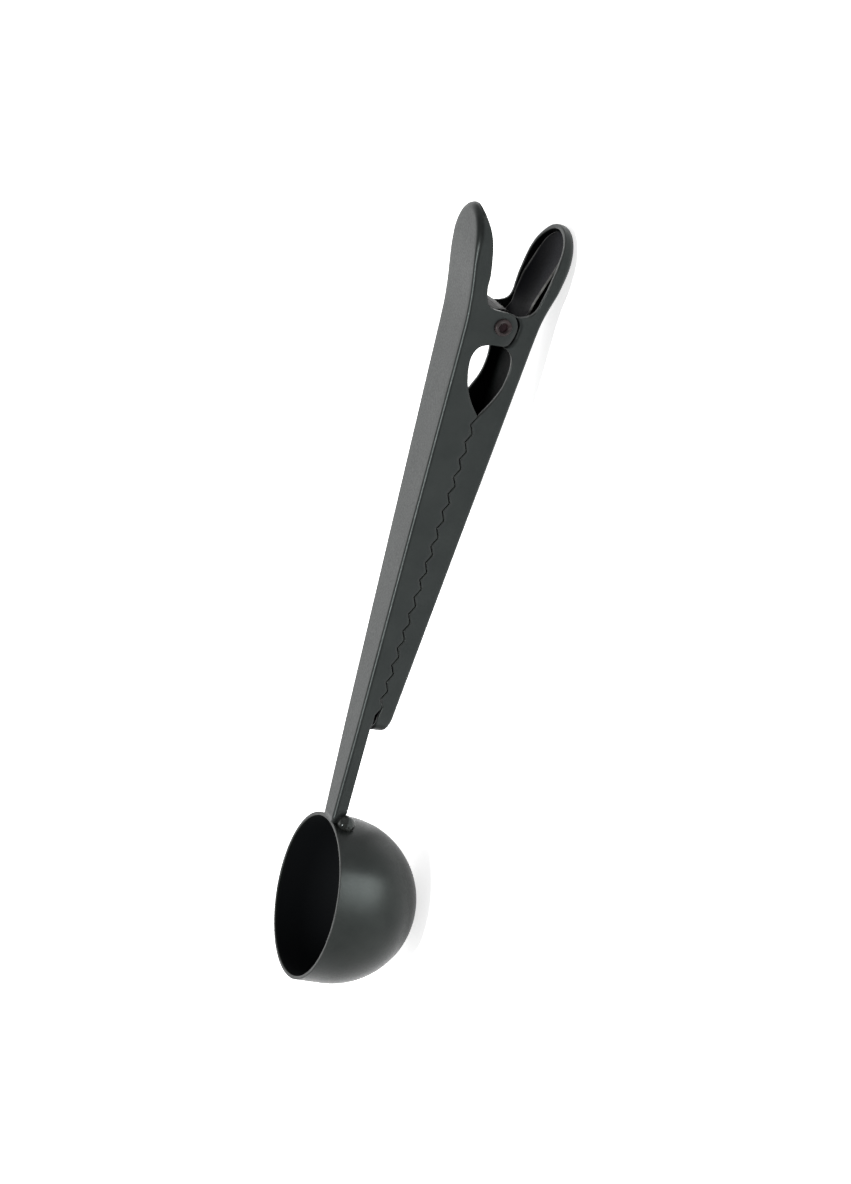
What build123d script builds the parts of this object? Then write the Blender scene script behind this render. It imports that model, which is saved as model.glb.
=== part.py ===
from build123d import *
from math import cos, pi, sin, sqrt
import os

# Coffee scoop whose handle is a sprung bag clip. Millimetres.
# Everything is drawn with the pivot axis on Y and the arm's flat web along X, then laid down:
# +X runs from the thumb handles to the bowl, +Z is up out of the bowl, Y is the pivot axis.

SHEET = 1.0                 # lever sheet thickness
BEND_R = 0.8                # outside bend radius of the levers

# scoop arm
ARM_WEB_Z = 8.27            # outside face of the arm's web above the pivot
ARM_HANDLE_HALF = 7.85      # half width of the thumb handle
ARM_HANDLE_X = -8.0         # where the taper starts
ARM_TEETH_HALF = 4.30       # half width at ARM_TEETH_X
ARM_TEETH_X = 90.0
ARM_FOOT_HALF = 3.00        # half width where the shank meets the bowl
ARM_FOOT_X = 114.0
ARM_END_CENTRE_X = -15.7    # centre of the rounded handle end
SHANK_EDGE_Z = 5.4          # free edge of the shank flanges

# jaw
JAW_WEB_Z = -8.08           # outside face of the jaw's web under the pivot
JAW_SLOPE = 0.1018          # rise of the jaw's web towards its tip
JAW_HANDLE_HALF = 9.0
JAW_HANDLE_X = -9.0
JAW_EAR_HALF = 6.30         # outside half width of the ears, set in to clear the arm's ears
JAW_END_CENTRE_X = -12.8
JAW_TIP_X = 92.2
JAW_TIP_TOP_Z = 4.35

# outward sweep shared by both thumb handles: distance behind the pivot, offset
HANDLE_SWEEP = [(0.0, 0.0), (4.8, 0.40), (9.1, 0.95), (12.6, 1.45), (16.5, 1.85), (25.5, 2.25)]

# teeth
TOOTH_X0 = 19.7
TOOTH_PITCH = 3.9
TOOTH_COUNT = 17
TOOTH_MID_Z = 0.68          # middle of the tooth line at TOOTH_X0
TOOTH_SLOPE = 0.058
TOOTH_HALF_DEPTH = 0.50
TOOTH_GAP = 0.14            # daylight between the two tooth rows

# pivot
RIVET_R = 1.5
RIVET_HEAD_R = 1.9
RIVET_HEAD_H = 0.75
RIVET_DOME_R = 2.4
RIVET_DOME_H = 0.9
HOLE_CLEARANCE = 0.05
SLEEVE_R = 3.4
SLEEVE_HALF = 5.25

# leaf spring
LEAF_T = 0.45
LEAF_GAP = 0.05
LEAF_LOOP_HALF = 5.1
LEAF_ARM_HALF = 6.2
LEAF_END_X = -20.6

# bowl
BOWL_X = 131.35
BOWL_Z = 2.71               # centre of the hemisphere
BOWL_R = 18.15
BOWL_WALL = 0.8
BOWL_STRAIGHT = 5.86        # straight wall above the hemisphere
BOWL_TILT = 1.8             # bowl axis leans towards the handles, degrees

# weld beads
BEAD_R = 1.95
BEAD_X = 112.9
BEAD_Y = 4.0
BEAD_Z = 5.3

REST_TILT = -1.18           # turn about Y that rests the part on bowl and jaw handle, degrees
SIDE = 20.0                 # half length of the cutting prisms across Y


def sweep_offset(x):
    """Outward offset of a thumb handle's web at x, read off the sweep by linear steps."""
    back = max(0.0, -x)
    for (b0, s0), (b1, s1) in zip(HANDLE_SWEEP, HANDLE_SWEEP[1:]):
        if back <= b1:
            return s0 + (s1 - s0) * (back - b0) / (b1 - b0)
    return HANDLE_SWEEP[-1][1]


def arm_web_z(x):
    return ARM_WEB_Z + sweep_offset(x)


def jaw_web_z(x):
    return JAW_WEB_Z + JAW_SLOPE * x - sweep_offset(x)


def arm_half(x):
    """Half width of the arm's outline forward of its handle."""
    slope = (ARM_TEETH_HALF - ARM_HANDLE_HALF) / (ARM_TEETH_X - ARM_HANDLE_X)
    return ARM_HANDLE_HALF + slope * (x - ARM_HANDLE_X)


def side_face(curves):
    """Face in the XZ plane from a closed chain of curves."""
    return Face(Wire(curves))


def prism(face, half=SIDE):
    """Solid from a side face, the same distance each way along Y."""
    return Solid.extrude(face.moved(Location((0, -half, 0))), Vector(0, 2 * half, 0))


def tower(face, low=-40.0, high=40.0):
    """Solid from a face in the XY plane, upright between two heights."""
    return Solid.extrude(face.moved(Location((0, 0, low))), Vector(0, 0, high - low))


def chain(points):
    """Straight edges through (x, z) points."""
    ends = [Vector(x, 0, z) for x, z in points]
    return [Edge.make_line(a, b) for a, b in zip(ends, ends[1:])]


def curve(points, tangents=None):
    """Smooth edge through (x, z) points."""
    return Edge.make_spline([Vector(x, 0, z) for x, z in points], tangents=tangents)


def web_curve(web, offset, x_back):
    """Smooth edge along a lever's web through its handle, from the tip to the pivot."""
    stations = [x_back] + [-b for b, s in reversed(HANDLE_SWEEP[:-1])]
    points = [(x, web(x) + offset) for x in stations]
    slope = web(1.0) - web(0.0)
    back_slope = (web(x_back + 3.0) - web(x_back)) / 3.0
    return curve(points, tangents=[Vector(1, 0, back_slope), Vector(1, 0, slope)])


def below_web(web, offset, x_back, x_front, far_z):
    """Side face between a lever's web line and a level far on its open side."""
    front_z = web(x_front) + offset
    back_z = web(x_back) + offset
    edges = [web_curve(web, offset, x_back)]
    edges += chain([(0.0, web(0.0) + offset), (x_front, front_z), (x_front, far_z)])
    edges += chain([(x_front, far_z), (x_back, far_z), (x_back, back_z)])
    return side_face(edges)


def arc_xy(centre_x, radius):
    """Half circle round the back of a handle, from +Y to -Y."""
    start = Vector(centre_x, radius, 0)
    middle = Vector(centre_x - radius, 0, 0)
    end = Vector(centre_x, -radius, 0)
    return Edge.make_three_point_arc(start, middle, end)


def lines_xy(points):
    ends = [Vector(x, y, 0) for x, y in points]
    return [Edge.make_line(a, b) for a, b in zip(ends, ends[1:])]


def arm_plan(inset, x_front):
    """Outline of the arm seen from above: rounded handle, then the tapering channel."""
    side = [
        (ARM_END_CENTRE_X, ARM_HANDLE_HALF - inset),
        (ARM_HANDLE_X, ARM_HANDLE_HALF - inset),
        (ARM_TEETH_X, ARM_TEETH_HALF - inset),
        (x_front, ARM_FOOT_HALF - inset),
    ]
    mirrored = [(x, -y) for x, y in side]
    edges = lines_xy(side + mirrored[::-1])
    edges.append(arc_xy(ARM_END_CENTRE_X, ARM_HANDLE_HALF - inset).reversed())
    return Face(Wire(edges))


def jaw_plan(inset):
    """Outline of the jaw seen from above: rounded handle, taper, round tip."""
    tip_r = arm_half(JAW_TIP_X - 4.3) - inset
    tip_centre = JAW_TIP_X - inset - tip_r
    side = [
        (JAW_END_CENTRE_X, JAW_HANDLE_HALF - inset),
        (JAW_HANDLE_X, JAW_HANDLE_HALF - inset),
        (-2.6, arm_half(-2.6) - inset),
        (5.2, arm_half(5.2) - inset),
        (tip_centre, tip_r),
    ]
    mirrored = [(x, -y) for x, y in side]
    edges = lines_xy(side)
    tip = [Vector(tip_centre, tip_r, 0), Vector(tip_centre + tip_r, 0, 0)]
    edges.append(Edge.make_three_point_arc(tip[0], tip[1], Vector(tip_centre, -tip_r, 0)))
    edges += lines_xy(mirrored[::-1])
    edges.append(arc_xy(JAW_END_CENTRE_X, JAW_HANDLE_HALF - inset).reversed())
    return Face(Wire(edges))


def joggle(line, half):
    """Space beside the pivot, outside a half width, over a line of (x, z) points."""
    edges = [curve(line)]
    edges += chain([line[-1], (line[-1][0], 12.0), (line[0][0], 12.0), line[0]])
    core = Box(60.0, 2 * half, 60.0)
    return prism(side_face(edges)) - core


def tooth_points(shift):
    """Zigzag of the tooth row from the window to the tip, moved by shift in Z."""
    points = []
    for i in range(2 * TOOTH_COUNT + 2):
        x = TOOTH_X0 + TOOTH_PITCH * i / 2
        mid = TOOTH_MID_Z + TOOTH_SLOPE * (x - TOOTH_X0)
        side = -1 if i % 2 == 0 else 1
        points.append((x, mid + side * TOOTH_HALF_DEPTH + shift))
    return points


def bowl_frame():
    """Location of the bowl's hemisphere centre, leaning by BOWL_TILT."""
    return Location((BOWL_X, 0, BOWL_Z), (0, -BOWL_TILT, 0))


def bowl_profile(radius, straight):
    """Half section of the bowl's skin of a given radius, in XZ about the Z axis."""
    bottom = Vector(0, 0, -radius)
    side = Vector(radius, 0, 0)
    knee = Vector(radius * sin(pi / 4), 0, -radius * cos(pi / 4))
    edges = [Edge.make_three_point_arc(bottom, knee, side)]
    rim = Vector(radius, 0, straight)
    top = Vector(0, 0, straight)
    edges += [Edge.make_line(side, rim), Edge.make_line(rim, top), Edge.make_line(top, bottom)]
    return Face(Wire(edges))


def bowl_body(radius, straight):
    return revolve(bowl_profile(radius, straight), axis=Axis.Z).moved(bowl_frame())


def make_bowl():
    """Drawn cup: hemisphere with a short straight wall and a rounded rim."""
    cup = bowl_body(BOWL_R, BOWL_STRAIGHT) - bowl_body(BOWL_R - BOWL_WALL, BOWL_STRAIGHT + 2.0)
    rims = cup.edges().filter_by(GeomType.CIRCLE).sort_by(Axis.Z)[-2:]
    return fillet(rims, radius=BOWL_WALL * 0.35)


def make_arm():
    """Long pressed lever: handle, outer ears, half the window, teeth and shank."""
    x_back = -25.5
    outer = prism(below_web(arm_web_z, 0.0, x_back, ARM_FOOT_X + 2, -30.0))
    outer = outer & tower(arm_plan(0.0, ARM_FOOT_X + 2))
    outer = fillet(outer_top_edges(outer, 1), radius=BEND_R)
    inner = prism(below_web(arm_web_z, -SHEET, x_back, ARM_FOOT_X + 6, -30.0))
    inner = inner & tower(arm_plan(SHEET, ARM_FOOT_X + 6))
    channel = outer - inner

    ear_bottom = [(-3.2, 0.85), (-2.75, -1.9), (-0.6, -3.25), (1.9, -3.0), (4.05, -1.6)]
    window = [(4.05, 1.6), (4.9, 3.7), (6.8, 4.9), (9.6, 5.0), (13.3, 4.2), (16.4, 2.75)]
    teeth = tooth_points(TOOTH_GAP / 2)
    edges = [curve(window + [teeth[0]])]
    edges += chain(teeth)
    edges += chain([teeth[-1], (90.2, SHANK_EDGE_Z), (ARM_FOOT_X + 10, SHANK_EDGE_Z)])
    edges += chain([(ARM_FOOT_X + 10, SHANK_EDGE_Z), (ARM_FOOT_X + 10, 30.0)])
    edges += chain([(ARM_FOOT_X + 10, 30.0), (-40.0, 30.0), (-40.0, 9.4), (-25.0, 9.4)])
    rim_line = [(-25.0, 9.4), (-22.0, 8.3), (-19.0, 7.15), (-15.0, 6.2), (-10.6, 5.5)]
    rim_line += [(-7.8, 5.45), (-5.6, 4.95), (-4.2, 4.2), (-3.45, 2.8), ear_bottom[0]]
    edges.append(curve(rim_line))
    edges.append(curve(ear_bottom))
    edges += chain([ear_bottom[-1], window[0]])
    keep = prism(side_face(edges))
    arm = channel & keep
    hole = Cylinder(RIVET_R, 4 * SIDE, rotation=(90, 0, 0))
    return arm - hole - bowl_body(BOWL_R, BOWL_STRAIGHT + 4.0)


def outer_top_edges(solid, up):
    """Edges all round a lever's web, where it turns into the flanges."""
    found = []
    for face in solid.faces():
        normal = face.normal_at(face.center())
        if up * normal.Z > 0.9:
            found += list(face.edges())
    perimeter = []
    for edge in found:
        middle = edge.position_at(0.5)
        across = [e for e in found if (e.position_at(0.5) - middle).length < 1e-4]
        if len(across) == 1 and middle.X < ARM_FOOT_X:
            perimeter.append(edge)
    return perimeter


def make_jaw():
    """Short pressed lever: handle, inner ears, half the window, teeth and round tip."""
    x_back = -25.5
    outer = prism(below_web(jaw_web_z, 0.0, x_back, JAW_TIP_X + 2, 30.0))
    outer = outer & tower(jaw_plan(0.0))
    outer = fillet(outer_top_edges(outer, -1), radius=BEND_R)
    inner = prism(below_web(jaw_web_z, SHEET, x_back, JAW_TIP_X + 2, 30.0))
    inner = inner & tower(jaw_plan(SHEET))
    seat = [(-6.0, -1.6), (-3.05, -2.35), (-0.75, -3.65), (2.1, -3.35), (4.5, -1.85), (5.3, 0.3)]
    back = [(-6.0, -2.6), (-3.35, -3.3), (-0.9, -4.65), (2.5, -4.3), (5.35, -2.5), (6.4, 0.3)]
    outer -= joggle(seat, JAW_EAR_HALF)
    inner -= joggle(back, JAW_EAR_HALF - SHEET)
    channel = outer - inner

    teeth = tooth_points(-TOOTH_GAP / 2)
    window = [(4.15, -1.0), (4.9, -2.7), (6.6, -3.9), (9.6, -4.15), (13.2, -3.5), (16.5, -1.95)]
    ear_top = [(4.15, 1.2), (3.0, 2.3), (0.6, 3.2), (-2.0, 2.5), (-3.15, 0.4)]
    notch = [(-3.15, 0.4), (-2.45, -2.6), (-2.7, -4.2), (-3.5, -5.7), (-5.0, -6.5), (-7.6, -6.95)]
    rim_line = [(-12.9, -7.95), (-16.5, -8.75), (-20.0, -9.7), (-25.0, -10.6)]
    edges = [curve(window + [teeth[0]])]
    edges += chain(teeth[:-1])
    edges += chain([teeth[-2], (88.2, JAW_TIP_TOP_Z), (100.0, JAW_TIP_TOP_Z), (100.0, -30.0)])
    edges += chain([(100.0, -30.0), (-40.0, -30.0), (-40.0, -10.6), (-25.0, -10.6)])
    edges.append(curve(notch + rim_line))
    edges.append(curve(ear_top))
    edges += chain([ear_top[0], window[0]])
    keep = prism(side_face(edges))
    jaw = channel & keep
    hole = Cylinder(RIVET_R + HOLE_CLEARANCE, 4 * SIDE, rotation=(90, 0, 0))
    return jaw - hole


def make_rivet(arm):
    """Rivet with a low dome on one side and a rolled, dished end on the other."""
    seat = arm_half(0.0)
    roll = RIVET_HEAD_H
    points = [
        (0.0, -seat - RIVET_DOME_H),
        (1.0, -seat - RIVET_DOME_H * 0.93),
        (RIVET_DOME_R - 0.5, -seat - RIVET_DOME_H * 0.55),
        (RIVET_DOME_R, -seat),
        (RIVET_R, -seat),
        (RIVET_R, seat),
        (RIVET_HEAD_R, seat),
        (RIVET_HEAD_R, seat + roll * 0.5),
    ]
    ends = [Vector(r, y, 0) for r, y in points]
    edges = [Edge.make_spline(ends[0:4])]
    edges += [Edge.make_line(a, b) for a, b in zip(ends[3:], ends[4:])]
    crest = Vector(1.35, seat + roll, 0)
    dish = Vector(0.8, seat + roll * 0.35, 0)
    middle = Vector(0, seat + roll * 0.2, 0)
    edges.append(Edge.make_spline([ends[-1], crest, dish, middle]))
    edges.append(Edge.make_line(middle, ends[0]))
    rivet = revolve(Face(Wire(edges)), axis=Axis.Y)
    return rivet - arm


def make_sleeve():
    """Spacer tube on the rivet between the inner ears."""
    tube = Cylinder(SLEEVE_R, 2 * SLEEVE_HALF, rotation=(90, 0, 0))
    return tube - Cylinder(RIVET_R, 4 * SLEEVE_HALF, rotation=(90, 0, 0))


def leaf_arm_points(side, end_z, radius):
    """Tangent point on the loop and the free end for one arm of the leaf."""
    end = Vector(LEAF_END_X, 0, end_z)
    reach = sqrt(end.X ** 2 + end.Z ** 2)
    along = sqrt(reach ** 2 - radius ** 2)
    ux = end.X / reach
    uz = end.Z / reach
    foot = radius * radius / reach
    off = radius * along / reach
    return Vector(foot * ux - side * off * uz * -1, 0, foot * uz + side * off * ux * -1), end


def make_leaf():
    """Strip of spring steel wrapped round the sleeve with one arm up inside each handle."""
    inner_r = SLEEVE_R + LEAF_GAP
    outer_r = inner_r + LEAF_T
    arm_end_z = arm_web_z(LEAF_END_X) - SHEET - LEAF_T - 0.12
    jaw_end_z = jaw_web_z(LEAF_END_X) + SHEET + LEAF_T + 0.12
    start_up, end_up = leaf_arm_points(1, arm_end_z, inner_r)
    start_down, end_down = leaf_arm_points(-1, jaw_end_z, inner_r)
    across_up = start_up.normalized() * LEAF_T
    across_down = start_down.normalized() * LEAF_T
    edges = [
        Edge.make_line(end_up, start_up),
        Edge.make_three_point_arc(start_up, Vector(inner_r, 0, 0), start_down),
        Edge.make_line(start_down, end_down),
        Edge.make_line(end_down, end_down + across_down),
        Edge.make_line(end_down + across_down, start_down + across_down),
        Edge.make_three_point_arc(
            start_down + across_down, Vector(outer_r, 0, 0), start_up + across_up
        ),
        Edge.make_line(start_up + across_up, end_up + across_up),
        Edge.make_line(end_up + across_up, end_up),
    ]
    strip = prism(side_face(edges), LEAF_ARM_HALF)
    centre_x = LEAF_END_X + LEAF_ARM_HALF
    side = [
        (centre_x, LEAF_ARM_HALF),
        (-8.5, LEAF_ARM_HALF),
        (-4.2, LEAF_LOOP_HALF),
        (8.0, LEAF_LOOP_HALF),
    ]
    mirrored = [(x, -y) for x, y in side]
    plan = lines_xy(side + mirrored[::-1])
    plan.append(arc_xy(centre_x, LEAF_ARM_HALF).reversed())
    return strip & tower(Face(Wire(plan)))


def make_bead(side, arm):
    """Weld bead in the corner between one shank flange and the bowl."""
    ball = Sphere(BEAD_R).moved(Location((BEAD_X, side * BEAD_Y, BEAD_Z), (0, 0, side * 90)))
    return ball - bowl_body(BOWL_R, BOWL_STRAIGHT + 4.0) - arm


def lay_down(solid):
    return solid.moved(Location((0, 0, 0), (0, REST_TILT, 0)))


def single(shape):
    """The largest solid of a result."""
    return max(shape.solids(), key=lambda s: s.volume)


os.makedirs("parts", exist_ok=True)
arm = single(make_arm())
jaw = single(make_jaw())
bowl = single(make_bowl())
nodes = {
    "scoop_arm": arm,
    "clip_jaw": jaw,
    "scoop_bowl": bowl,
    "pivot_rivet": single(make_rivet(arm)),
    "pivot_sleeve": single(make_sleeve()),
    "leaf_spring": single(make_leaf()),
    "weld_bead_near": single(make_bead(1, arm)),
    "weld_bead_far": single(make_bead(-1, arm)),
}
laid = {name: lay_down(solid) for name, solid in nodes.items()}
box = Compound(list(laid.values())).bounding_box()
shift = Location((-(box.min.X + box.max.X) / 2, -(box.min.Y + box.max.Y) / 2, -box.min.Z))
for name, solid in laid.items():
    export_step(solid.moved(shift), f"parts/{name}.step")
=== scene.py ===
import math

import bmesh
import bpy
from mathutils import Matrix, Vector, noise


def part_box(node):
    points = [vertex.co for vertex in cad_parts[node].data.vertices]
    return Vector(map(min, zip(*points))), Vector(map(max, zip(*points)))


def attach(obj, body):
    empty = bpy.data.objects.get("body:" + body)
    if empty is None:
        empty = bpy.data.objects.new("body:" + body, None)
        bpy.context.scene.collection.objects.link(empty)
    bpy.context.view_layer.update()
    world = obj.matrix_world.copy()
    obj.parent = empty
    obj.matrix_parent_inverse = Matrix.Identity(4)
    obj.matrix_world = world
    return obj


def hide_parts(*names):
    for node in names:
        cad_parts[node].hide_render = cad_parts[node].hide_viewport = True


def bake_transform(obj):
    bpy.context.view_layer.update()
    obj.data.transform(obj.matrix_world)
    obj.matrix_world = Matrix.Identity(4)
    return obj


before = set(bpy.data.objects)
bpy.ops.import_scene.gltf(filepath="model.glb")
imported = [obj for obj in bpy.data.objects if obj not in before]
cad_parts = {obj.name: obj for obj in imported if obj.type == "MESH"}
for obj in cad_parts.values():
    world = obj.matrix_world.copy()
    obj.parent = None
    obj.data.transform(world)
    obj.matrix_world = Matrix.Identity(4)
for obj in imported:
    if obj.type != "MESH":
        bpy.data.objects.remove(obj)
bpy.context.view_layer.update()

# Lever frame, in mm: origin on the pivot axis, X along the arm's web, as in part.py.
REST_TILT = math.radians(-1.18)
low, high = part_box("pivot_sleeve")
PIVOT = (Vector(low) + Vector(high)) / 2
TO_ROW = (
    Matrix.Translation(PIVOT) @ Matrix.Rotation(REST_TILT, 4, "Y") @ Matrix.Scale(0.001, 4)
)

SHEET = 1.0
BEND_R, INNER_BEND_R = 0.8, 0.35
EDGE_R = 0.16
JOGGLE = 0.3
SLOPE_STEP = 0.02
# How far each handle's web has bent away from its lever, by distance behind the pivot.
HANDLE_SWEEP = [
    (-4.0, 0.0), (0.0, 0.05), (4.8, 0.40), (9.1, 0.95), (12.6, 1.45), (16.5, 1.85), (25.5, 2.25)
]
ARM_END_CENTRE_X = -15.7
ARM_HANDLE_HALF = 7.85
JAW_END_CENTRE_X = -12.8
JAW_HANDLE_HALF = 9.0
JAW_TIP_X, JAW_TIP_R = 92.2, 4.38
TOOTH_X0, TOOTH_PITCH, TOOTH_COUNT = 19.7, 3.9, 17
TOOTH_MID_Z, TOOTH_SLOPE, TOOTH_HALF_DEPTH, TOOTH_GAP = 0.68, 0.058, 0.50, 0.24
BOWL_X, BOWL_Z, BOWL_R, BOWL_WALL = 131.35, 2.71, 18.15, 0.8
BOWL_STRAIGHT = 5.86
BOWL_TILT = math.radians(1.8)
SLEEVE_R, SLEEVE_HALF, SLEEVE_BORE_R = 3.4, 5.25, 1.52
RIVET_SHANK_R, RIVET_DOME_R, RIVET_DOME_H = 1.5, 2.4, 0.9
LEAF_T, LEAF_LOOP_HALF, LEAF_ARM_HALF, LEAF_END_X = 0.45, 5.1, 6.2, -20.2
LEAF_BOW = 1.5
LEAF_LIFT = [(-16.0, 0.6), (-9.0, 1.35), (-6.0, 1.2), (-3.0, 0.0)]
BEAD_X, BEAD_Y, BEAD_Z, BEAD_R = 112.85, 3.95, 5.35, 1.86
BEAD_SINK = 0.25


# ---------------------------------------------------------------- curves


def lerp_table(table, x):
    """Value at x of a table of (x, value) rows in rising x, by straight steps."""
    if x <= table[0][0]:
        return table[0][1]
    for (x0, v0), (x1, v1) in zip(table, table[1:]):
        if x <= x1:
            return v0 + (v1 - v0) * (x - x0) / (x1 - x0)
    return table[-1][1]


def smooth_table(table, x):
    """The same table read with a monotone cubic, so the curve has no kinks."""
    if x <= table[0][0]:
        return table[0][1]
    if x >= table[-1][0]:
        return table[-1][1]
    i = max(k for k in range(len(table) - 1) if table[k][0] <= x)

    def slope(k):
        if k <= 0 or k >= len(table) - 1:
            j = 0 if k <= 0 else len(table) - 2
            return (table[j + 1][1] - table[j][1]) / (table[j + 1][0] - table[j][0])
        before = (table[k][1] - table[k - 1][1]) / (table[k][0] - table[k - 1][0])
        after = (table[k + 1][1] - table[k][1]) / (table[k + 1][0] - table[k][0])
        if before * after <= 0:
            return 0.0
        return 2 * before * after / (before + after)

    (x0, v0), (x1, v1) = table[i], table[i + 1]
    h = x1 - x0
    t = (x - x0) / h
    a = (1 + 2 * t) * (1 - t) ** 2
    b = t * (1 - t) ** 2
    c = t * t * (3 - 2 * t)
    d = t * t * (t - 1)
    return a * v0 + b * h * slope(i) + c * v1 + d * h * slope(i + 1)


def catmull(points, steps):
    """Dense polyline through (x, z) points, kept rising in x."""
    ends = [points[0]] + list(points) + [points[-1]]
    out = []
    for k in range(1, len(ends) - 2):
        p0, p1, p2, p3 = (Vector(ends[k + j - 1]) for j in range(4))
        for s in range(steps):
            t = s / steps
            p = 0.5 * (
                2 * p1
                + (p2 - p0) * t
                + (2 * p0 - 5 * p1 + 4 * p2 - p3) * t * t
                + (3 * p1 - p0 - 3 * p2 + p3) * t ** 3
            )
            out.append((p.x, p.y))
    out.append(tuple(points[-1]))
    return out


def rising(points, least=0.012):
    """The polyline with each x at least a little above the one before."""
    out = [points[0]]
    for x, z in points[1:]:
        out.append((max(x, out[-1][0] + least), z))
    return out


def sweep_offset(x):
    return smooth_table(HANDLE_SWEEP, -x)


def arm_web(x):
    return 8.27 + sweep_offset(x)


def jaw_web(x):
    return -8.08 + 0.1018 * x - sweep_offset(x)


def tooth_row(shift, last):
    """Tooth line with slightly blunted points."""
    points = []
    for i in range(last):
        x = TOOTH_X0 + TOOTH_PITCH * i / 2
        side = -1 if i % 2 == 0 else 1
        mid = TOOTH_MID_Z + TOOTH_SLOPE * (x - TOOTH_X0) + shift
        z = mid + side * TOOTH_HALF_DEPTH
        if i == 0:
            points.append((x, z))
            continue
        points.append((x - 0.16, z - side * 0.085))
        points.append((x, z - side * 0.03))
        points.append((x + 0.16, z - side * 0.085))
    return points


# ---------------------------------------------------------------- pressed levers


def half_round(centre_x, radius, x, front):
    """Half width of a rounded end at x."""
    away = (x - centre_x) if front else (centre_x - x)
    return math.sqrt(max(0.0, radius * radius - max(0.0, away) ** 2))


# Half width of each lever along x.
ARM_HALF = [(-8.0, ARM_HANDLE_HALF), (90.0, 4.30), (114.0, 3.00), (124.0, 2.46)]
JAW_HALF = [(-9.0, JAW_HANDLE_HALF), (-2.6, 7.64), (5.2, 7.36), (87.8, JAW_TIP_R)]
# Height of the step above which the jaw's ears are set in, and their half width there.
EAR_SEAT = [(-6.0, -1.6), (-3.0, -2.2), (-0.7, -3.47), (2.0, -3.2), (4.2, -1.9), (4.6, 0.3)]
EAR_HALF = 6.42


def arm_plan(x):
    if x < ARM_END_CENTRE_X:
        return half_round(ARM_END_CENTRE_X, ARM_HANDLE_HALF, x, False)
    return smooth_ends(ARM_HALF, x)


def jaw_plan(x):
    if x < JAW_END_CENTRE_X:
        return half_round(JAW_END_CENTRE_X, JAW_HANDLE_HALF, x, False)
    if x > JAW_TIP_X - JAW_TIP_R:
        return half_round(JAW_TIP_X - JAW_TIP_R, JAW_TIP_R, x, True)
    return smooth_ends(JAW_HALF, x)


def ear_seat(x):
    """Height of the step in the jaw's ears, or None where there is no ear."""
    if EAR_SEAT[0][0] <= x <= EAR_SEAT[-1][0]:
        return smooth_table(EAR_SEAT, x)
    return None


def smooth_ends(table, x):
    """Straight steps with the corners eased over a few millimetres."""
    reach = 1.1
    total = sum(lerp_table(table, x + reach * (k - 2) / 2) for k in range(5))
    return total / 5


def end_stations(centre_x, radius, front, count=30):
    """x stations round a rounded end, close together where the outline turns."""
    sign = 1 if front else -1
    turns = [math.pi / 2 * k / count for k in range(count + 1)]
    return [centre_x + sign * radius * math.sin(a) for a in turns]


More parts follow.
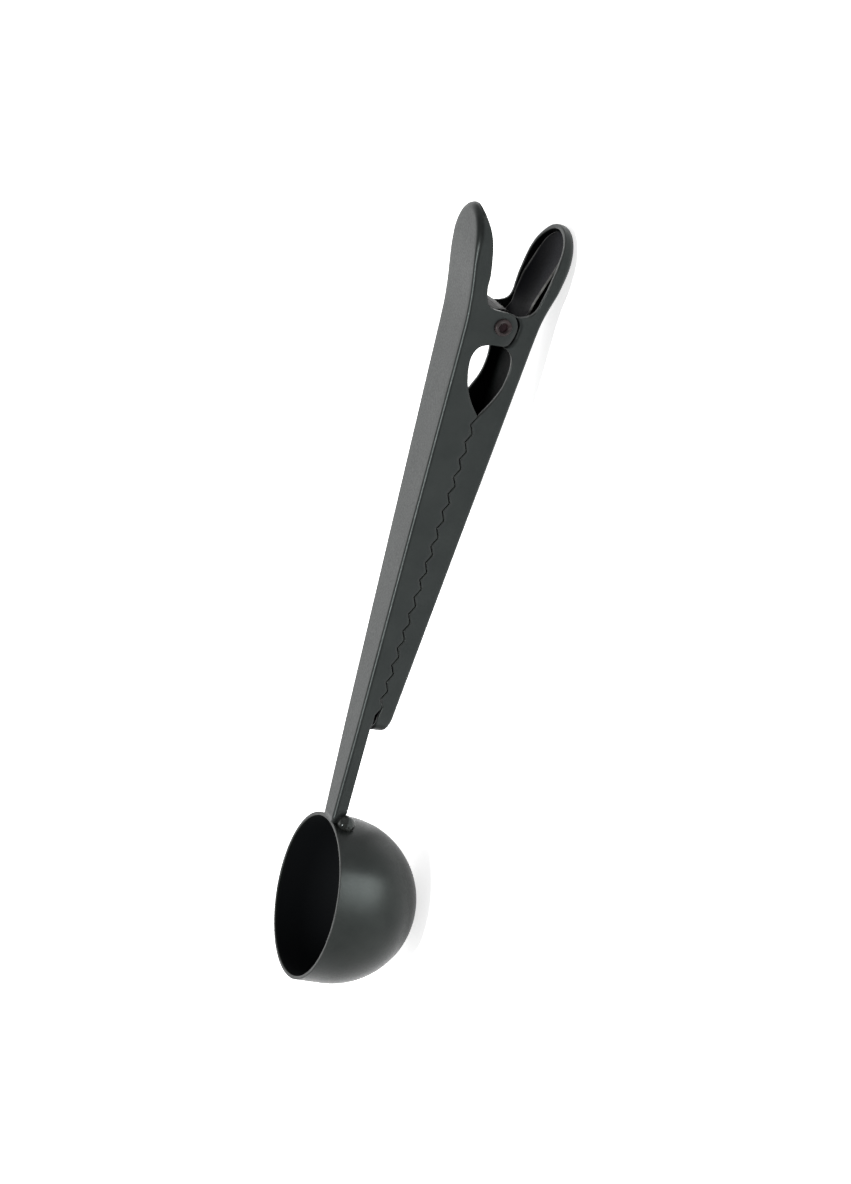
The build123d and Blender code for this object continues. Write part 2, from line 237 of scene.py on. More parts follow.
def lever(name, up, web, plan, edge, stations, bend, close_front, front_x=None, seat=None):
    """Pressed channel with rounded free edges, as one closed mesh.
    up is 1 if the web is on top and -1 if it is below; edge is the free edge's height along x.
    Above the seat line, the flanges are set in to clear the other lever's ears."""
    bend_steps, web_steps = 7, 12
    rings = []
    marks = []
    for x in stations:
        half = max(plan(x), 1e-5)
        rise = (plan(x + SLOPE_STEP) - plan(x - SLOPE_STEP)) / (2 * SLOPE_STEP)
        normal = Vector((-rise, 1.0))
        closed_back = x <= stations[0] + 1e-9
        closed_tip = close_front and x >= stations[-1] - 1e-9
        if closed_back or closed_tip:
            half = 0.0
            normal = Vector((-1.0 if closed_back else 1.0, 0.0))
        normal.normalize()
        r = bend(x)
        depth = up * (web(x) - edge(x))
        step, set_in = 0.5 * (depth + r), 0.0
        seat_z = None if seat is None else seat(x)
        if seat_z is not None:
            step = min(up * (web(x) - seat_z), depth - EDGE_R)
            room = min(1.0, max(0.0, (depth - EDGE_R - step) / JOGGLE))
            set_in = room * max(0.0, half - EAR_HALF)
            step = max(step, r + JOGGLE + 0.2)
        levels = [depth - EDGE_R + (step - depth + EDGE_R) * k / 4 for k in range(1, 5)]
        levels += [step - JOGGLE * k / 6 for k in range(1, 7)]

        def joggled(down):
            t = min(1.0, max(0.0, (down - step + JOGGLE) / JOGGLE))
            return set_in * t * t * (3 - 2 * t)

        def at(inset, down):
            inset += joggled(down)
            px = x - normal.x * inset
            py = half - normal.y * inset
            py = max(py, 0.0) if half > 0.0 else 0.0
            return Vector((px, py, web(px) - up * down))

        outer = []
        wear_and_highlight = []
        # The rounded free edge is marked lighter: edge wear, and a painted highlight along the cut
        # edge.
        for inset, back, w in (
            (0.0, EDGE_R, 0.6),
            (0.3 * EDGE_R, 0.3 * EDGE_R, 0.9),
            (EDGE_R, 0.0, 1.0),
        ):
            outer.append(at(inset, depth - back))
            wear_and_highlight.append(w)
        outer.reverse()
        wear_and_highlight.reverse()
        to_bend = [levels[-1] + (r - levels[-1]) * k / 4 for k in range(1, 5)]
        for d in levels + to_bend:
            outer.append(at(0.0, d))
            wear_and_highlight.append(0.0)
        # The middle of the bend is marked a little lighter: a painted highlight along the bend.
        for k in range(1, bend_steps + 1):
            a = math.pi / 2 * k / bend_steps
            outer.append(at(r * (1 - math.cos(a)), r * (1 - math.sin(a))))
            wear_and_highlight.append(0.25 * math.sin(2 * a))
        inner = []
        wear_and_highlight_in = []
        # The inner side of the free edge is marked lighter the same way: edge wear and a painted
        # highlight.
        for inset, back, w in (
            (SHEET - EDGE_R, 0.0, 1.0),
            (SHEET - 0.3 * EDGE_R, 0.3 * EDGE_R, 0.9),
            (SHEET, EDGE_R, 0.6),
        ):
            inner.append(at(inset, depth - back))
            wear_and_highlight_in.append(w)
        foot = SHEET + INNER_BEND_R
        lowest = max(levels[-1], foot)
        to_foot = [lowest + (foot - lowest) * k / 4 for k in range(1, 5)]
        for d in [max(v, foot) for v in levels] + to_foot:
            inner.append(at(SHEET, d))
            wear_and_highlight_in.append(0.0)
        for k in range(1, bend_steps + 1):
            a = math.pi / 2 * k / bend_steps
            inner.append(
                at(SHEET + INNER_BEND_R * (1 - math.cos(a)), SHEET + INNER_BEND_R * (1 - math.sin(a)))
            )
            wear_and_highlight_in.append(0.0)
        ring = list(outer)
        mark = list(wear_and_highlight)
        for k in range(1, web_steps):
            ring.append(outer[-1].lerp(mirror(outer[-1]), k / web_steps))
            mark.append(0.0)
        ring += [mirror(p) for p in reversed(outer)]
        mark += list(reversed(wear_and_highlight))
        ring += [mirror(p) for p in inner]
        mark += wear_and_highlight_in
        for k in range(1, web_steps):
            ring.append(mirror(inner[-1]).lerp(inner[-1], k / web_steps))
            mark.append(0.0)
        ring += list(reversed(inner))
        mark += list(reversed(wear_and_highlight_in))
        if front_x is not None and x >= stations[-1] - 1e-9:
            ring = [Vector((front_x(p.y, p.z), p.y, p.z)) for p in ring]
        rings.append(ring)
        marks.append(mark)

    mesh = bpy.data.meshes.new(name)
    bm = bmesh.new()
    layer = bm.verts.layers.float.new("wear_and_highlight")
    inside = bm.verts.layers.float.new("inside")
    rows = []
    # Inner faces are marked for the coat's painted shade.
    first_inner = len(rings[0]) // 2 + 3
    for ring, mark in zip(rings, marks):
        row = []
        for k, (p, w) in enumerate(zip(ring, mark)):
            v = bm.verts.new(TO_ROW @ p)
            v[layer] = w
            v[inside] = 1.0 if first_inner <= k < len(ring) - 3 else 0.0
            row.append(v)
        rows.append(row)
    n = len(rows[0])
    for a, b in zip(rows, rows[1:]):
        for k in range(n):
            bm.faces.new((a[k], a[(k + 1) % n], b[(k + 1) % n], b[k]))
    if not close_front:
        last = rows[-1]
        half_n = n // 2
        for k in range(half_n - 1):
            bm.faces.new((last[k], last[k + 1], last[n - 2 - k], last[n - 1 - k]))
    bmesh.ops.remove_doubles(bm, verts=bm.verts, dist=2e-7)
    bmesh.ops.dissolve_degenerate(bm, edges=bm.edges, dist=1e-7)
    bmesh.ops.recalc_face_normals(bm, faces=bm.faces)
    bm.to_mesh(mesh)
    bm.free()
    return shaded(name, mesh)


def mirror(p):
    return Vector((p.x, -p.y, p.z))


def shaded(name, mesh, weighted=True):
    """Object with smooth faces whose flats stay flat."""
    for face in mesh.polygons:
        face.use_smooth = True
    obj = bpy.data.objects.new(name, mesh)
    bpy.context.scene.collection.objects.link(obj)
    if weighted:
        mod = obj.modifiers.new("weighted", "WEIGHTED_NORMAL")
        mod.weight = 60
    return obj


def merged(*lists):
    """Sorted stations with near repeats dropped."""
    values = sorted(x for group in lists for x in group)
    out = [values[0]]
    for x in values[1:]:
        if x - out[-1] > 0.011:
            out.append(x)
    return out


def wall_x(y, z):
    """x of the bowl's outside wall, on the side of the levers."""
    axis_x = BOWL_X - (z - BOWL_Z) * math.tan(BOWL_TILT)
    return axis_x - math.sqrt(BOWL_R ** 2 - y * y) + 0.03


def handle_bend(centre_x):
    """Bend radius along x, growing towards the handle whose end is centred on centre_x."""

    def bend(x):
        t = min(1.0, max(0.0, (centre_x + 5.0 - x) / 9.0))
        return BEND_R + 0.75 * t * t * (3 - 2 * t)

    return bend


def make_arm():
    rim = [(-25.0, 9.4), (-22.0, 8.3), (-19.0, 7.15), (-15.0, 6.2), (-10.6, 5.5), (-7.8, 5.45)]
    rim += [(-5.6, 4.95), (-4.2, 4.2), (-3.45, 2.8), (-3.2, 0.85), (-2.75, -1.9)]
    rim += [(-0.6, -3.25), (1.9, -3.0), (3.6, -2.2), (4.02, -1.3)]
    window = [(4.06, 1.3), (4.9, 3.7), (6.8, 4.9), (9.6, 5.0), (13.3, 4.2), (16.4, 2.75)]
    teeth = tooth_row(TOOTH_GAP / 2, 2 * TOOTH_COUNT + 2)
    line = catmull(rim, 9) + catmull(window + [teeth[0]], 9) + teeth[1:]
    line += [(89.6, 5.15), (90.2, 5.4), (93.0, 5.42), (130.0, 5.4)]
    line = rising(line)
    back = ARM_END_CENTRE_X - ARM_HANDLE_HALF
    stations = merged(
        [x for x, z in line if back < x < 113.0],
        end_stations(ARM_END_CENTRE_X, ARM_HANDLE_HALF, False),
        [92.0 + k for k in range(21)],
        [113.55],
    )
    return lever(
        "scoop_arm_sheet",
        1,
        arm_web,
        arm_plan,
        lambda x: lerp_table(line, x),
        stations,
        handle_bend(ARM_END_CENTRE_X),
        False,
        wall_x,
    )


def make_jaw():
    rim = [(-25.0, -10.6), (-20.0, -9.7), (-16.5, -8.75), (-12.9, -7.95), (-7.6, -6.95)]
    rim += [(-5.0, -6.5), (-3.5, -5.7), (-2.75, -4.2), (-2.5, -2.6), (-2.3, -0.2), (-1.6, 2.2)]
    rim += [(0.6, 3.1), (3.0, 2.2), (4.05, 0.9)]
    window = [(4.15, -1.0), (4.9, -2.7), (6.6, -3.9), (9.6, -4.15), (13.2, -3.5), (16.5, -1.95)]
    teeth = tooth_row(-TOOTH_GAP / 2, 2 * TOOTH_COUNT + 1)
    line = catmull(rim, 9) + catmull(window + [teeth[0]], 9) + teeth[1:]
    line += [(88.0, 4.3), (88.6, 4.35), (95.0, 4.35)]
    line = rising(line)
    back = JAW_END_CENTRE_X - JAW_HANDLE_HALF
    stations = merged(
        [x for x, z in line if back < x < JAW_TIP_X],
        [-3.0 + 0.2 * k for k in range(40)],  # close together over the ears
        end_stations(JAW_END_CENTRE_X, JAW_HANDLE_HALF, False),
        end_stations(JAW_TIP_X - JAW_TIP_R, JAW_TIP_R, True, 20),
    )
    return lever(
        "clip_jaw_sheet",
        -1,
        jaw_web,
        jaw_plan,
        lambda x: lerp_table(line, x),
        stations,
        handle_bend(JAW_END_CENTRE_X),
        True,
        seat=ear_seat,
    )


# ---------------------------------------------------------------- turned and formed pieces


def lathe(name, profile, place, segments, rough, inner_from=None):
    """Surface turned about local Z from (radius, height, wear and highlight) points, placed by a
    matrix.
    rough moves each point a little; inner_from is the first profile point of an inside, which the
    coat darkens as painted shade."""
    mesh = bpy.data.meshes.new(name)
    bm = bmesh.new()
    layer = bm.verts.layers.float.new("wear_and_highlight")
    inside = bm.verts.layers.float.new("inside")
    rows = []
    for i, (radius, height, w) in enumerate(profile):
        row = []
        for k in range(segments):
            a = 2 * math.pi * k / segments
            p = Vector((radius * math.cos(a), radius * math.sin(a), height))
            v = bm.verts.new(TO_ROW @ (place @ rough(p)))
            v[layer] = w
            v[inside] = 1.0 if inner_from is not None and i >= inner_from else 0.0
            row.append(v)
        rows.append(row)
    for a, b in zip(rows, rows[1:]):
        for k in range(segments):
            bm.faces.new((a[k], a[(k + 1) % segments], b[(k + 1) % segments], b[k]))
    bmesh.ops.remove_doubles(bm, verts=bm.verts, dist=1e-7)
    bmesh.ops.dissolve_degenerate(bm, edges=bm.edges, dist=1e-8)
    bmesh.ops.recalc_face_normals(bm, faces=bm.faces)
    bm.to_mesh(mesh)
    bm.free()
    return shaded(name, mesh)


def make_bowl():
    """Drawn cup with a cut rim whose corners are slightly rounded, and a very slight unevenness."""
    inner_r = BOWL_R - BOWL_WALL
    corner_out, corner_in = 0.14, 0.22
    profile = []
    rings = 46
    for k in range(rings + 1):
        a = math.pi / 2 * k / rings
        profile.append((BOWL_R * math.sin(a), -BOWL_R * math.cos(a), 0.0))
    for k in range(1, 9):
        profile.append((BOWL_R, (BOWL_STRAIGHT - corner_out) * k / 8, 0.0))
    # The rim's rounded corners are marked lighter: edge wear and a painted highlight along the rim.
    for k in range(1, 6):
        a = math.pi / 2 * k / 5
        r = BOWL_R - corner_out + corner_out * math.cos(a)
        profile.append((r, BOWL_STRAIGHT - corner_out + corner_out * math.sin(a), 1.0))
    for k in range(6):
        a = math.pi / 2 * k / 5
        r = inner_r + corner_in - corner_in * math.sin(a)
        profile.append((r, BOWL_STRAIGHT - corner_in + corner_in * math.cos(a), 1.0 - 0.2 * k))
    # The inside starts here; the coat paints it in shade.
    inner_from = len(profile)
    for k in range(1, 9):
        profile.append((inner_r, (BOWL_STRAIGHT - corner_in) * (8 - k) / 8, 0.0))
    for k in range(1, rings + 1):
        a = math.pi / 2 * (1 - k / rings)
        profile.append((inner_r * math.sin(a), -inner_r * math.cos(a), 0.0))
    place = Matrix.Translation((BOWL_X, 0, BOWL_Z)) @ Matrix.Rotation(-BOWL_TILT, 4, "Y")

    def uneven(p):
        swell = 0.035 * noise.noise(p * 0.09 + Vector((3.1, 1.7, 9.2)))
        return p * (1 - abs(swell) / BOWL_R)

    return lathe("scoop_bowl_cup", profile, place, 160, uneven, inner_from)


ACROSS = Matrix.Rotation(-math.pi / 2, 4, "X")


def make_rivet():
    """Rivet with a low dome on the far side and a rolled, dished end on the near side."""
    seat = ARM_HANDLE_HALF - 0.29
    profile = [(0.0, -seat - RIVET_DOME_H, 0.0)]
    for k in range(1, 13):
        a = math.pi / 2 * k / 12
        profile.append((RIVET_DOME_R * math.sin(a), -seat - RIVET_DOME_H * math.cos(a), 0.15))
    profile += [(RIVET_SHANK_R, -seat + 0.06, 0.0), (RIVET_SHANK_R, seat - 0.06, 0.0)]
    profile.append((1.86, seat + 0.01, 0.1))
    roll_centre, roll_r = 1.42, 0.46
    for k in range(11):
        a = math.radians(-25 + 205 * k / 10)
        r = roll_centre + roll_r * math.cos(a)
        profile.append((r, seat + 0.27 + roll_r * math.sin(a), 0.35 + 0.65 * math.sin(a)))
    profile += [(0.90, seat + 0.12, 0.0), (0.70, seat + 0.07, 0.0), (0.3, seat + 0.09, 0.0)]
    profile.append((0.0, seat + 0.10, 0.0))

    def hammered(p):
        if p.z < seat + 0.02:
            return p
        lump = noise.noise(p * 1.7 + Vector((0.4, 5.0, 2.2)))
        fine = noise.noise(p * 4.3 + Vector((7.4, 1.0, 3.2)))
        p.z = max(p.z + 0.10 * lump + 0.05 * fine, seat + 0.04)
        scale = 1 + 0.025 * noise.noise(Vector((p.x, p.y, 0)).normalized() * 1.4)
        return Vector((p.x * scale, p.y * scale, p.z)) if p.xy.length > 0.01 else p

    return lathe("pivot_rivet_body", profile, ACROSS, 72, hammered)


def make_sleeve():
    """Spacer tube on the rivet, with a fine drawn grain along its length."""
    profile = [(SLEEVE_BORE_R, -SLEEVE_HALF + 0.02, 0.3), (SLEEVE_R - 0.2, -SLEEVE_HALF, 0.3)]
    profile += [(SLEEVE_R - 0.03, -SLEEVE_HALF + 0.1, 0.6)]
    steps = 40
    span = 2 * (SLEEVE_HALF - 0.2)
    for k in range(steps + 1):
        profile.append((SLEEVE_R, -SLEEVE_HALF + 0.2 + span * k / steps, 0.0))
    profile += [(SLEEVE_R - 0.03, SLEEVE_HALF - 0.1, 0.6), (SLEEVE_R - 0.2, SLEEVE_HALF, 0.3)]
    profile += [(SLEEVE_BORE_R, SLEEVE_HALF - 0.02, 0.3)]

    def grain(p):
        if p.xy.length < SLEEVE_R - 0.1:
            return p
        around = math.atan2(p.y, p.x)
        ridge = noise.noise(Vector((around * 5.5, p.z * 0.16, 1.3)))
        fine = noise.noise(Vector((around * 19.0, p.z * 0.3, 4.7)))
        return p * (1 - 0.016 * abs(ridge) - 0.006 * abs(fine))

    return lathe("pivot_sleeve_tube", profile, ACROSS, 144, grain)


def make_leaf():
    """Sprung strip: a loop half round the sleeve and a dished, round-ended arm in each handle."""
    inner_r = SLEEVE_R + 0.05

    def tangent(side, end_z):
        reach = math.hypot(LEAF_END_X, end_z)
        along = math.sqrt(reach ** 2 - inner_r ** 2)
        ux, uz = LEAF_END_X / reach, end_z / reach
        foot, off = inner_r ** 2 / reach, inner_r * along / reach
        return Vector((foot * ux + side * off * uz, 0, foot * uz - side * off * ux))

    arm_z = arm_web(LEAF_END_X) - SHEET - LEAF_T - 0.12
    jaw_z = jaw_web(LEAF_END_X) + SHEET + LEAF_T + 0.12
    start, finish = tangent(1, arm_z), tangent(-1, jaw_z)
    end_arm, end_jaw = Vector((LEAF_END_X, 0, arm_z)), Vector((LEAF_END_X, 0, jaw_z))
    path = []
    rounding = [math.sin(math.pi / 2 * k / 16) for k in range(17)]
    tip_share, arm_share = 0.36, 0.64

    def bowed(end, foot, t):
        out = foot.normalized()
        return end.lerp(foot, t) + out * (LEAF_BOW * math.sin(math.pi * t)), out

    for k in range(17):
        path.append(bowed(end_arm, start, (1 - rounding[16 - k]) * tip_share))
    for k in range(1, 17):
        path.append(bowed(end_arm, start, tip_share + arm_share * k / 16))
    a0, a1 = math.atan2(start.z, start.x), math.atan2(finish.z, finish.x)
    for k in range(1, 40):
        a = a0 + (a1 - a0) * k / 40
        out = Vector((math.cos(a), 0, math.sin(a)))
        path.append((out * inner_r, out))
    for k in range(16):
        path.append(bowed(end_jaw, finish, 1 - arm_share * k / 16))
    for k in range(17):
        path.append(bowed(end_jaw, finish, tip_share * (1 - rounding[k])))

    def half_at(x):
        centre_x = LEAF_END_X + LEAF_ARM_HALF
        if x < centre_x:
            return half_round(centre_x, LEAF_ARM_HALF, x, False)
        return smooth_table([(-9.0, LEAF_ARM_HALF), (-3.6, LEAF_LOOP_HALF)], x)

    columns = 24
    name = "leaf_spring_strip"
    mesh = bpy.data.meshes.new(name)
    bm = bmesh.new()
    layer = bm.verts.layers.float.new("wear_and_highlight")
    top, under = [], []
    for p, out in path:
        half = max(half_at(p.x), 0.02)
        lift_here = smooth_table(LEAF_LIFT, p.x)
        row_top, row_under = [], []
        for k in range(columns + 1):
            v = -1 + 2 * k / columns
            lift = lift_here * (v * half / LEAF_ARM_HALF) ** 2
            y = v * half
            shell = Vector((p.x, y, p.z))
            # The strip's cut edges and ends are marked light: bare edges and a painted highlight.
            edge = 1.0 if k in (0, columns) else 0.0
            for row, depth in ((row_top, -lift), (row_under, LEAF_T - lift)):
                vert = bm.verts.new(TO_ROW @ (shell + out * depth))
                vert[layer] = edge
                row.append(vert)
        top.append(row_top)
        under.append(row_under)
    last = len(path) - 1
    for i in range(last):
        for k in range(columns):
            bm.faces.new((top[i][k], top[i][k + 1], top[i + 1][k + 1], top[i + 1][k]))
            bm.faces.new((under[i][k], under[i + 1][k], under[i + 1][k + 1], under[i][k + 1]))
        for k in (0, columns):
            bm.faces.new((top[i][k], top[i + 1][k], under[i + 1][k], under[i][k]))
    for i in (0, last):
        for k in range(columns):
            bm.faces.new((top[i][k], top[i][k + 1], under[i][k + 1], under[i][k]))
        for row in (top[i], under[i]):
            for vert in row:
                vert[layer] = 1.0
    bmesh.ops.recalc_face_normals(bm, faces=bm.faces)
    bm.to_mesh(mesh)
    bm.free()
    obj = shaded(name, mesh, weighted=False)
    bevel = obj.modifiers.new("edge", "BEVEL")
    bevel.width = 0.00009
    bevel.segments = 2
    bevel.limit_method = "ANGLE"
    bevel.angle_limit = math.radians(50)
    obj.modifiers.new("weighted", "WEIGHTED_NORMAL").weight = 60
    return obj


def make_bead(name, side, seed):
    """Lumpy weld bead in the corner between a shank flange and the bowl."""
    mesh = bpy.data.meshes.new(name)
    bm = bmesh.new()
    bmesh.ops.create_icosphere(bm, subdivisions=5, radius=1.0)
    centre = Vector((BEAD_X, side * BEAD_Y, BEAD_Z))
    layer = bm.verts.layers.float.new("wear_and_highlight")
    for v in bm.verts:
        d = v.co.normalized()
        lump = noise.noise(d * 1.5 + Vector((seed, 2.0, 1.0)))
        fine = noise.noise(d * 3.6 + Vector((1.0, seed, 4.0)))
        r = BEAD_R * (1 + 0.075 * lump + 0.03 * fine)
        p = centre + Vector((d.x * r, d.y * r * 0.97, d.z * r))
        p.x = min(p.x, wall_x(p.y, p.z) + BEAD_SINK)
        v.co = TO_ROW @ p
        v[layer] = 0.25
    bmesh.ops.recalc_face_normals(bm, faces=bm.faces)
    bm.to_mesh(mesh)
    bm.free()
    return shaded(name, mesh, weighted=False)


# ---------------------------------------------------------------- materials


COOL = (0.89, 1.0, 0.98)
WARM = (1.0, 0.80, 0.86)
# How far marked edges and bends are lightened: edge wear and a painted highlight.
WORN_AND_HIGHLIT_AMOUNT = 0.8
# Inside faces are coloured near black and made duller: the colour is painted shade for the hollows.
INSIDE_PAINTED_SHADE = (0.0012, 0.0012, 0.0018)
INSIDE_DULLER = 0.42


def coat(name, dark, light, worn_and_highlit, roughness, peel, specular, tint=COOL):
    """Baked satin coat: cloudy tone, orange-peel bump, fine specks, lighter cut edges and bends that
    are partly wear and partly painted highlight, and painted shade on the inside faces.
    """
    mat = bpy.data.materials.new(name)
    mat.use_nodes = True
    nodes, links = mat.node_tree.nodes, mat.node_tree.links
    shader = nodes["Principled BSDF"]
    place = nodes.new("ShaderNodeTexCoord")
    cloud = nodes.new("ShaderNodeTexNoise")
    cloud.inputs["Scale"].default_value = 140.0
    cloud.inputs["Detail"].default_value = 5.0
    tone = nodes.new("ShaderNodeValToRGB")
    tone.color_ramp.elements[0].color = (*dark, 1)
    tone.color_ramp.elements[1].color = (*light, 1)
    tone.color_ramp.elements[0].position = 0.35
    tone.color_ramp.elements[1].position = 0.68
    links.new(place.outputs["Object"], cloud.inputs["Vector"])
    links.new(cloud.outputs["Fac"], tone.inputs["Fac"])

    # Marked cut edges and bends are mixed towards a lighter colour: partly edge wear, partly a
    # painted highlight.
    wear_and_highlight = nodes.new("ShaderNodeAttribute")
    wear_and_highlight.attribute_name = "wear_and_highlight"
    patch = nodes.new("ShaderNodeTexNoise")
    patch.inputs["Scale"].default_value = 420.0
    patch.inputs["Detail"].default_value = 4.0
    links.new(place.outputs["Object"], patch.inputs["Vector"])
    spread = nodes.new("ShaderNodeMapRange")
    spread.inputs["From Min"].default_value = 0.30
    spread.inputs["From Max"].default_value = 0.62
    spread.inputs["To Min"].default_value = 0.35
    spread.inputs["To Max"].default_value = 1.0
    links.new(patch.outputs["Fac"], spread.inputs["Value"])
    amount = nodes.new("ShaderNodeMath")
    amount.operation = "MULTIPLY"
    links.new(wear_and_highlight.outputs["Fac"], amount.inputs[0])
    links.new(spread.outputs["Result"], amount.inputs[1])
    scaled = nodes.new("ShaderNodeMath")
    scaled.operation = "MULTIPLY"
    scaled.inputs[1].default_value = WORN_AND_HIGHLIT_AMOUNT
    links.new(amount.outputs[0], scaled.inputs[0])
    # In a colour mix, inputs 6 and 7 are the two colours and output 2 is the result.
    mix = nodes.new("ShaderNodeMix")
    mix.data_type = "RGBA"
    links.new(scaled.outputs[0], mix.inputs["Factor"])
    links.new(tone.outputs["Color"], mix.inputs[6])
    mix.inputs[7].default_value = (*worn_and_highlit, 1)
    # Inside faces are mixed to near black: painted shade.
    inside = nodes.new("ShaderNodeAttribute")
    inside.attribute_name = "inside"
    inside_shade_mix = nodes.new("ShaderNodeMix")
    inside_shade_mix.data_type = "RGBA"
    links.new(inside.outputs["Fac"], inside_shade_mix.inputs["Factor"])
    links.new(mix.outputs[2], inside_shade_mix.inputs[6])
    inside_shade_mix.inputs[7].default_value = (*INSIDE_PAINTED_SHADE, 1)
    links.new(inside_shade_mix.outputs[2], shader.inputs["Base Color"])

    grain = nodes.new("ShaderNodeTexNoise")
    grain.inputs["Scale"].default_value = 2600.0
    grain.inputs["Detail"].default_value = 3.0
    links.new(place.outputs["Object"], grain.inputs["Vector"])
    matt = nodes.new("ShaderNodeMapRange")
    matt.inputs["From Min"].default_value = 0.3
    matt.inputs["From Max"].default_value = 0.7
    matt.inputs["To Min"].default_value = roughness - 0.06
    matt.inputs["To Max"].default_value = roughness + 0.07
    links.new(grain.outputs["Fac"], matt.inputs["Value"])
    dull = nodes.new("ShaderNodeMath")
    dull.operation = "MULTIPLY_ADD"
    dull.inputs[1].default_value = INSIDE_DULLER
    links.new(inside.outputs["Fac"], dull.inputs[0])
    links.new(matt.outputs["Result"], dull.inputs[2])
    links.new(dull.outputs[0], shader.inputs["Roughness"])
    shader.inputs["Specular IOR Level"].default_value = specular
    shader.inputs["Specular Tint"].default_value = (*tint, 1)

    peel_noise = nodes.new("ShaderNodeTexNoise")
    peel_noise.inputs["Scale"].default_value = 1500.0
    peel_noise.inputs["Detail"].default_value = 2.0
    links.new(place.outputs["Object"], peel_noise.inputs["Vector"])
    bump = nodes.new("ShaderNodeBump")
    bump.inputs["Strength"].default_value = peel
    bump.inputs["Distance"].default_value = 0.0001
    links.new(peel_noise.outputs["Fac"], bump.inputs["Height"])
    links.new(bump.outputs["Normal"], shader.inputs["Normal"])
    return mat


def bare_steel(name):
    """Drawn tube: bright grain that runs along the pivot axis."""
    mat = bpy.data.materials.new(name)
    mat.use_nodes = True
    nodes, links = mat.node_tree.nodes, mat.node_tree.links
    shader = nodes["Principled BSDF"]
    shader.inputs["Metallic"].default_value = 1.0
    place = nodes.new("ShaderNodeTexCoord")
    stretch = nodes.new("ShaderNodeMapping")
    stretch.inputs["Scale"].default_value = (1.0, 0.06, 1.0)
    links.new(place.outputs["Object"], stretch.inputs["Vector"])
    streak = nodes.new("ShaderNodeTexNoise")
    streak.inputs["Scale"].default_value = 2400.0
    streak.inputs["Detail"].default_value = 6.0
    links.new(stretch.outputs["Vector"], streak.inputs["Vector"])
    tone = nodes.new("ShaderNodeValToRGB")
    tone.color_ramp.elements[0].color = (0.003, 0.003, 0.003, 1)
    tone.color_ramp.elements[1].color = (0.030, 0.030, 0.029, 1)
    tone.color_ramp.elements[0].position = 0.46
    tone.color_ramp.elements[1].position = 0.56
    links.new(streak.outputs["Fac"], tone.inputs["Fac"])
    links.new(tone.outputs["Color"], shader.inputs["Base Color"])
    matt = nodes.new("ShaderNodeMapRange")
    matt.inputs["To Min"].default_value = 0.46
    matt.inputs["To Max"].default_value = 0.66
    links.new(streak.outputs["Fac"], matt.inputs["Value"])
    links.new(matt.outputs["Result"], shader.inputs["Roughness"])
    bump = nodes.new("ShaderNodeBump")
    bump.inputs["Strength"].default_value = 0.9
    bump.inputs["Distance"].default_value = 0.0002
    links.new(streak.outputs["Fac"], bump.inputs["Height"])
    links.new(bump.outputs["Normal"], shader.inputs["Normal"])
    return mat


BLACK = coat(
    "satin_black_coat",
    dark=(0.0050, 0.0058, 0.0057),
    light=(0.0082, 0.0092, 0.0089),
    worn_and_highlit=(0.020, 0.021, 0.020),
    roughness=0.38,
    peel=0.10,
    specular=0.21,
)
BOWL_BLACK = coat(
    "satin_black_bowl",
    dark=(0.0042, 0.0048, 0.0045),
    light=(0.0074, 0.0082, 0.0076),
    worn_and_highlit=(0.030, 0.031, 0.030),
    roughness=0.36,
    peel=0.12,
    specular=0.12,
)
WELD_BLACK = coat(
    "glossy_black_weld",
    dark=(0.004, 0.0045, 0.004),
    light=(0.010, 0.011, 0.010),
    worn_and_highlit=(0.02, 0.02, 0.02),
    roughness=0.22,
    peel=0.35,
    specular=0.25,
)
RIVET_BLACK = coat(
    "rubbed_black_rivet",
    dark=(0.0015, 0.0008, 0.0010),
    light=(0.013, 0.005, 0.006),
    worn_and_highlit=(0.040, 0.037, 0.036),
    roughness=0.24,
    peel=1.0,
    specular=0.08,
    tint=WARM,
)
# The light edge colour paints the strip's edges: bare steel edges and a painted highlight.
SPRING_BLACK = coat(
    "blued_spring",
    dark=(0.0025, 0.0025, 0.0040),
    light=(0.0050, 0.0050, 0.0070),
    worn_and_highlit=(0.20, 0.20, 0.19),
    roughness=0.50,
    peel=0.08,
    specular=0.02,
)
STEEL = bare_steel("drawn_steel_sleeve")


# ---------------------------------------------------------------- the object


def fit(obj, body, material, slot_name, *nodes):
    """Give a piece its material, the body it rides on and the nodes it stands for; slot_name is not
    used.
    """
    obj.data.materials.clear()
    obj.data.materials.append(material)
    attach(obj, body)
    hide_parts(*nodes)
    return obj


fit(make_arm(), "scoop", BLACK, "black_coat", "scoop_arm")
fit(make_jaw(), "jaw", BLACK, "black_coat", "clip_jaw")
fit(make_bowl(), "scoop", BOWL_BLACK, "black_coat", "scoop_bowl")
fit(make_rivet(), "scoop", RIVET_BLACK, "rivet_metal", "pivot_rivet")
fit(make_sleeve(), "scoop", STEEL, "bare_steel", "pivot_sleeve")
fit(make_bead("weld_bead_near_lump", 1, 0.0), "scoop", WELD_BLACK, "black_coat", "weld_bead_near")
fit(make_bead("weld_bead_far_lump", -1, 5.0), "scoop", WELD_BLACK, "black_coat", "weld_bead_far")

leaf = make_leaf()
leaf.data.materials.append(SPRING_BLACK)
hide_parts("leaf_spring")
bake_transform(leaf)


# ---------------------------------------------------------------- floor, light and camera

FLOOR_HALF, FLOOR_DROP = 6.0, 0.0002
FLOOR_EMISSION = 0.72  # washes most of the shadow out
BASE_LIGHT = 0.68

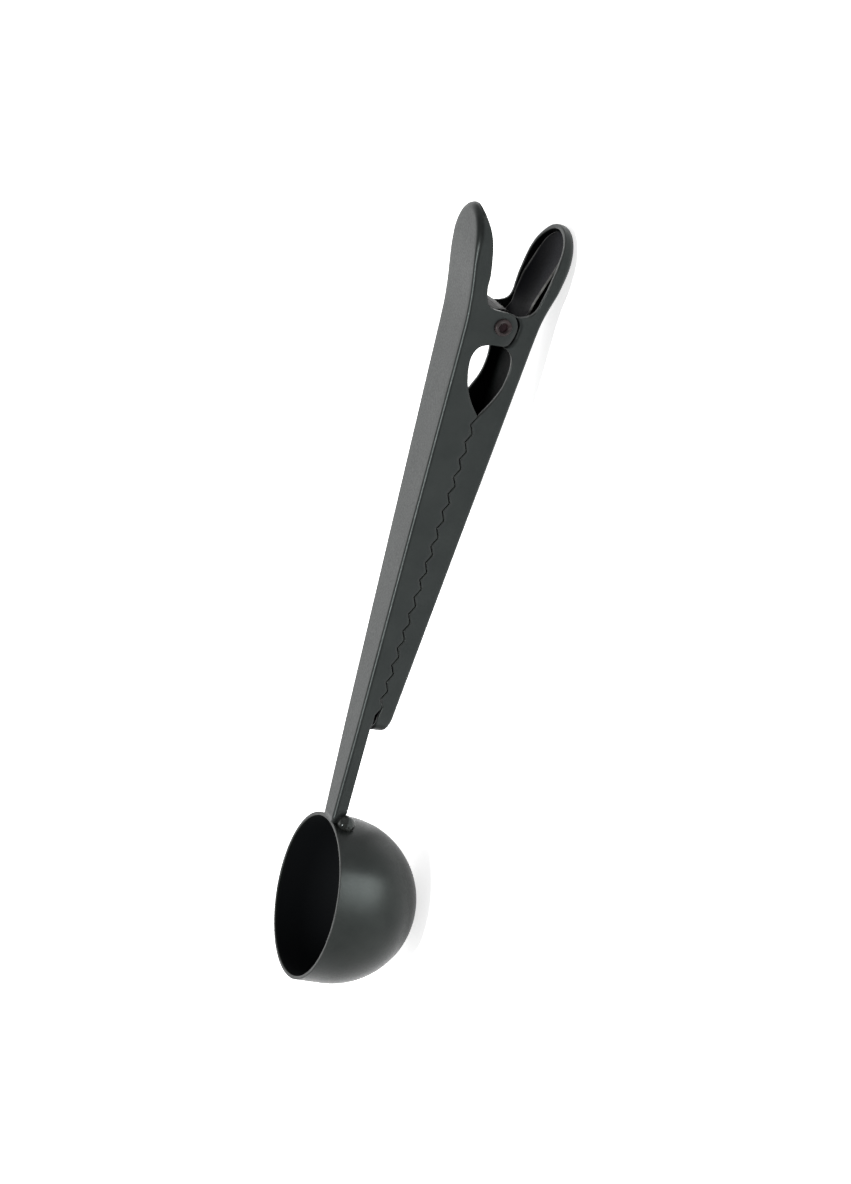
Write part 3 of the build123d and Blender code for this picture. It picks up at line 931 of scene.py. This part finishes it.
floor_mesh = bpy.data.meshes.new("floor")
bm = bmesh.new()
bmesh.ops.create_grid(bm, x_segments=1, y_segments=1, size=FLOOR_HALF)
bm.to_mesh(floor_mesh)
bm.free()
floor = bpy.data.objects.new("floor", floor_mesh)
bpy.context.scene.collection.objects.link(floor)
floor.location = (0, 0, -FLOOR_DROP)
floor_mat = bpy.data.materials.new("pale_floor")
floor_mat.use_nodes = True
floor_shader = floor_mat.node_tree.nodes["Principled BSDF"]
floor_shader.inputs["Base Color"].default_value = (0.92, 0.92, 0.92, 1)
floor_shader.inputs["Roughness"].default_value = 0.9
floor_shader.inputs["Specular IOR Level"].default_value = 0.1
floor_shader.inputs["Emission Color"].default_value = (1, 1, 1, 1)
floor_shader.inputs["Emission Strength"].default_value = FLOOR_EMISSION
floor_mesh.materials.append(floor_mat)

world = bpy.data.worlds.new("studio")
world.use_nodes = True
nodes, links = world.node_tree.nodes, world.node_tree.links
sky = nodes["Background"]
sky.inputs["Color"].default_value = (1.0, 1.0, 1.0, 1)
toward = nodes.new("ShaderNodeTexCoord")


def glow(direction, start, full, gain):
    """Part of the surroundings round a direction, as a socket that is 0 outside it."""
    dot = nodes.new("ShaderNodeVectorMath")
    dot.operation = "DOT_PRODUCT"
    dot.inputs[1].default_value = Vector(direction).normalized()
    links.new(toward.outputs["Generated"], dot.inputs[0])
    ramp = nodes.new("ShaderNodeMapRange")
    ramp.interpolation_type = "SMOOTHSTEP"
    ramp.inputs["From Min"].default_value = start
    ramp.inputs["From Max"].default_value = full
    ramp.inputs["To Max"].default_value = gain
    links.new(dot.outputs["Value"], ramp.inputs["Value"])
    return ramp.outputs["Result"]


def added(a, b):
    """Sum of two sockets, or of a socket and a number."""
    node = nodes.new("ShaderNodeMath")
    links.new(a, node.inputs[0])
    if isinstance(b, float):
        node.inputs[1].default_value = b
    else:
        links.new(b, node.inputs[1])
    return node.outputs[0]


# A bright wall behind the object, and a darker front and ceiling.
wall = glow((0.27, -0.90, 0.30), start=0.55, full=0.95, gain=1.40)
front = glow((-0.20, 0.96, 0.15), start=0.30, full=0.95, gain=-0.50)
ceiling = glow((0.0, -0.10, 1.0), start=0.55, full=0.98, gain=-0.50)
strength = added(added(added(wall, front), ceiling), BASE_LIGHT)
links.new(strength, sky.inputs["Strength"])
bpy.context.scene.world = world
bpy.context.scene.view_settings.view_transform = "Standard"


def softbox(name, where, aim, size, power):
    """Rectangular area light, in metres and watts."""
    data = bpy.data.lights.new(name, "AREA")
    data.shape = "RECTANGLE"
    data.size, data.size_y = size
    data.energy = power
    obj = bpy.data.objects.new(name, data)
    obj.location = where
    obj.rotation_euler = (Vector(aim) - Vector(where)).to_track_quat("-Z", "Y").to_euler()
    bpy.context.scene.collection.objects.link(obj)
    return obj


softbox(
    "overhead", where=(0.20, 0.42, 0.80), aim=(0.0, 0.0, 0.0), size=(0.34, 0.05), power=12.0
)
# Small light close to the bowl, for its highlight.
low_side = softbox(
    "low_side",
    where=(0.055, 0.029, 0.010),
    aim=(0.075, 0.010, 0.020),
    size=(0.022, 0.017),
    power=0.0040,
)
low_side.data.spread = math.radians(80)
low_side.visible_camera = False

# Camera in the lever frame, in mm: above the near side, rolled so that the bowl hangs down.
camera_data = bpy.data.cameras.new("camera")
camera = bpy.data.objects.new("camera", camera_data)
bpy.context.scene.collection.objects.link(camera)
CAMERA_AT = Vector((-204.80, 938.34, 394.64))
CAMERA_FORWARD = Vector((0.25228, -0.89167, -0.37587)).normalized()
CAMERA_UP = Vector((-0.93806, -0.32069, 0.13115))
turned = Matrix.Rotation(REST_TILT, 3, "Y")
forward = turned @ CAMERA_FORWARD
right = forward.cross(turned @ CAMERA_UP).normalized()
axes = Matrix((right, right.cross(forward), -forward)).transposed().to_4x4()
camera.matrix_world = Matrix.Translation(TO_ROW @ CAMERA_AT) @ axes
camera_data.sensor_fit = "VERTICAL"
camera_data.sensor_height = 36.0
camera_data.lens = 151.58
camera_data.clip_end = 20.0
bpy.context.scene.camera = camera
